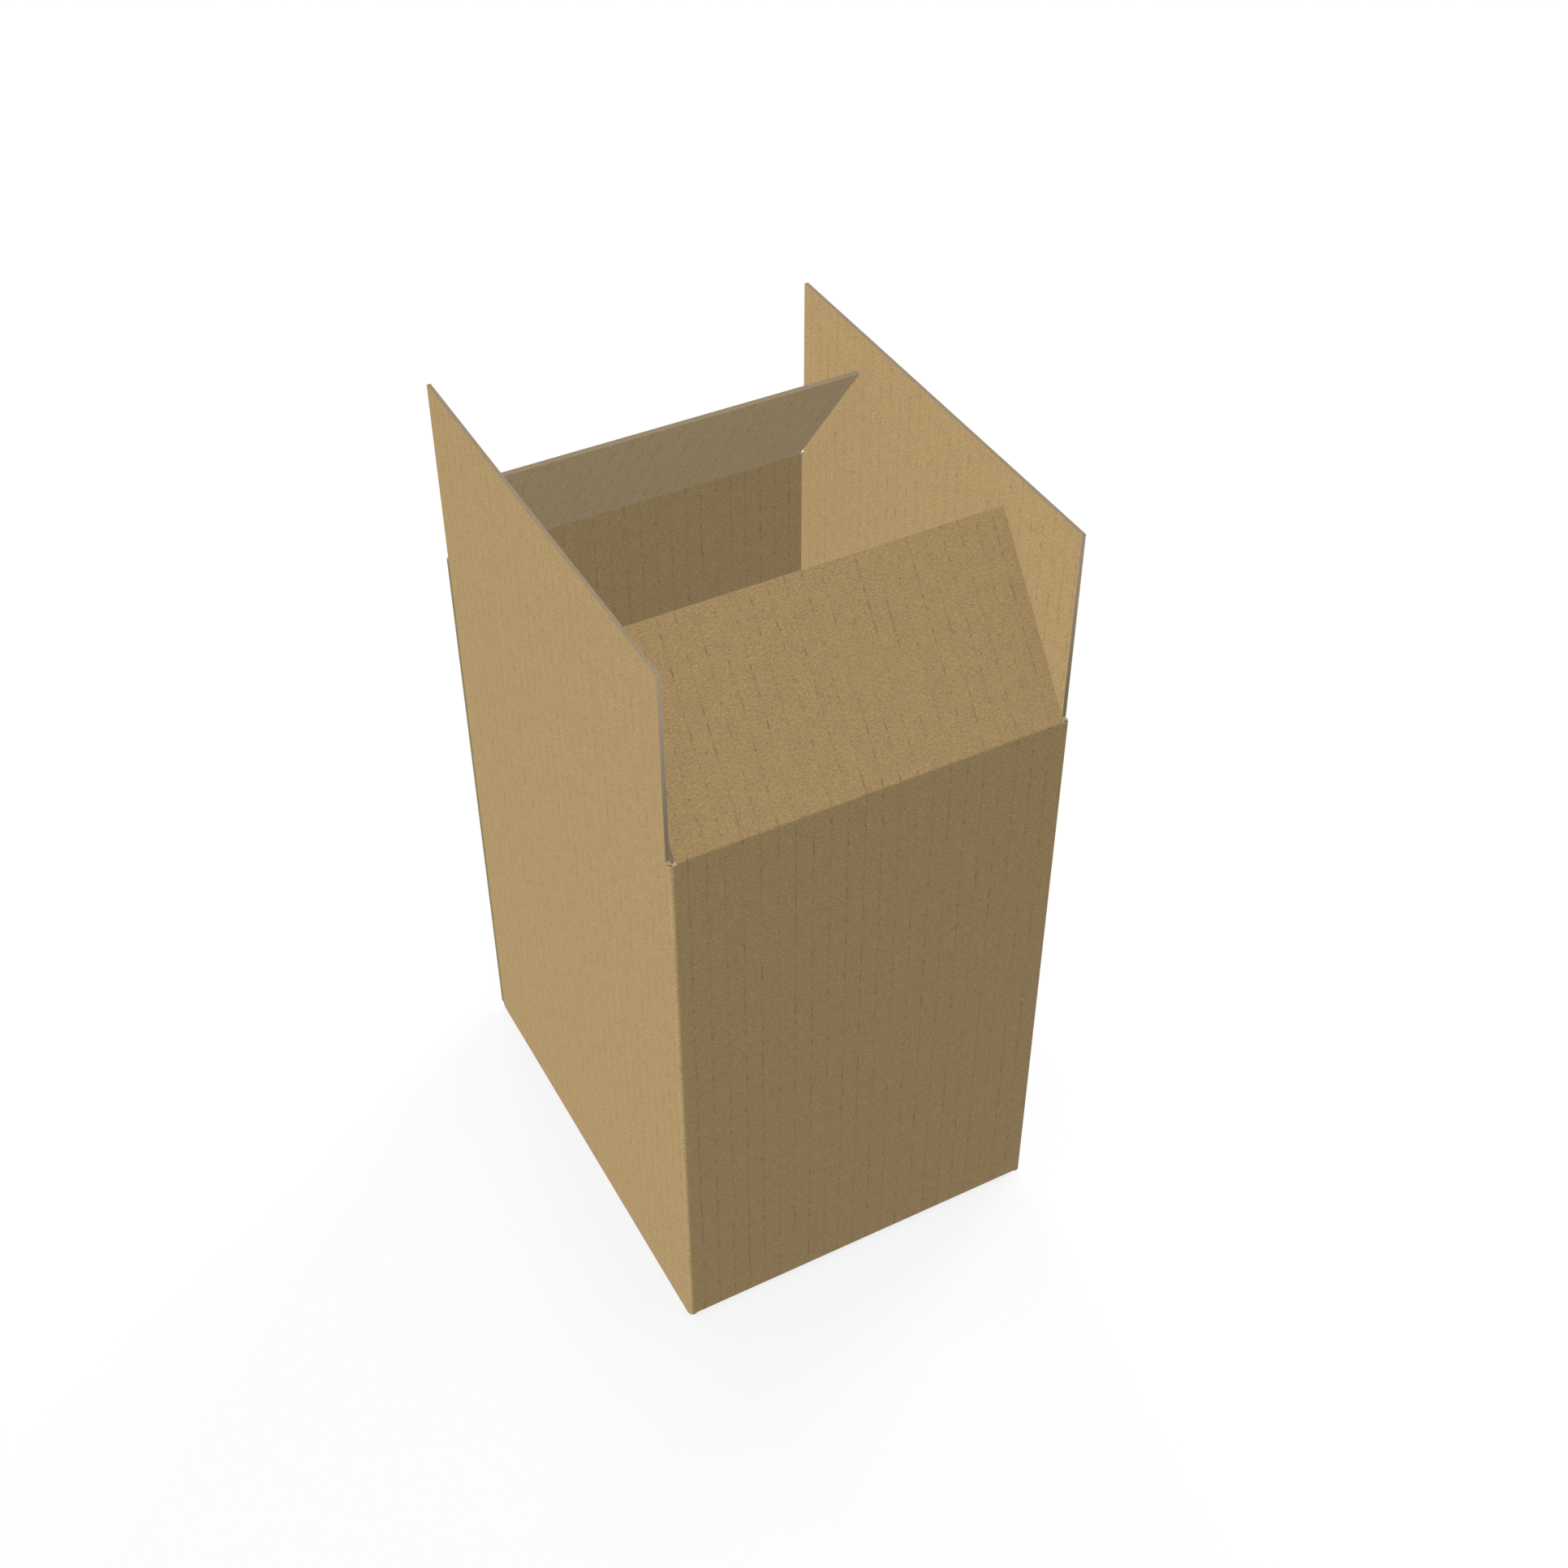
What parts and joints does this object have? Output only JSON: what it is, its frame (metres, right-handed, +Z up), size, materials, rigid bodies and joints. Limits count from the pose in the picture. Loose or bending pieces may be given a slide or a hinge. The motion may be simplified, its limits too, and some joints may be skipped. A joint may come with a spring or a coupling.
{
  "type": "open cardboard box",
  "caption": "Tall slotted carton of corrugated board with a closed bottom and hinged top flaps, for packing and carrying goods.",
  "frame": {"origin": "middle of the underside, on the surface that the box stands on", "axes": "+X across the front panel, +Y from the front panel to the back panel, +Z up"},
  "size_m": [0.3, 0.3734, 0.632],
  "materials": {
    "kraft_board": "matte brown kraft liner"
  },
  "bodies": {
    "carton": {"carton_body": "kraft_board"},
    "front_flap": {"front_flap": "kraft_board"},
    "back_flap": {"back_flap": "kraft_board"},
    "left_flap": {"left_flap": "kraft_board"},
    "right_flap": {"right_flap": "kraft_board"}
  },
  "joints": [
    {"name": "front_flap_fold", "type": "hinge", "parent": "carton", "child": "front_flap", "pos_m": [0, -0.18675, 0.4835], "axis": [-1, 0, 0], "range_deg": [-171.7, 53.3]},
    {"name": "back_flap_fold", "type": "hinge", "parent": "carton", "child": "back_flap", "pos_m": [0, 0.18675, 0.4835], "axis": [1, 0, 0], "range_deg": [-171.7, 53.3]},
    {"name": "left_flap_fold", "type": "hinge", "parent": "carton", "child": "left_flap", "pos_m": [-0.15, 0, 0.4865], "axis": [0, 1, 0], "range_deg": [-135, 0]},
    {"name": "right_flap_fold", "type": "hinge", "parent": "carton", "child": "right_flap", "pos_m": [0.15, 0, 0.4865], "axis": [0, -1, 0], "range_deg": [-135, 0]}
  ]
}
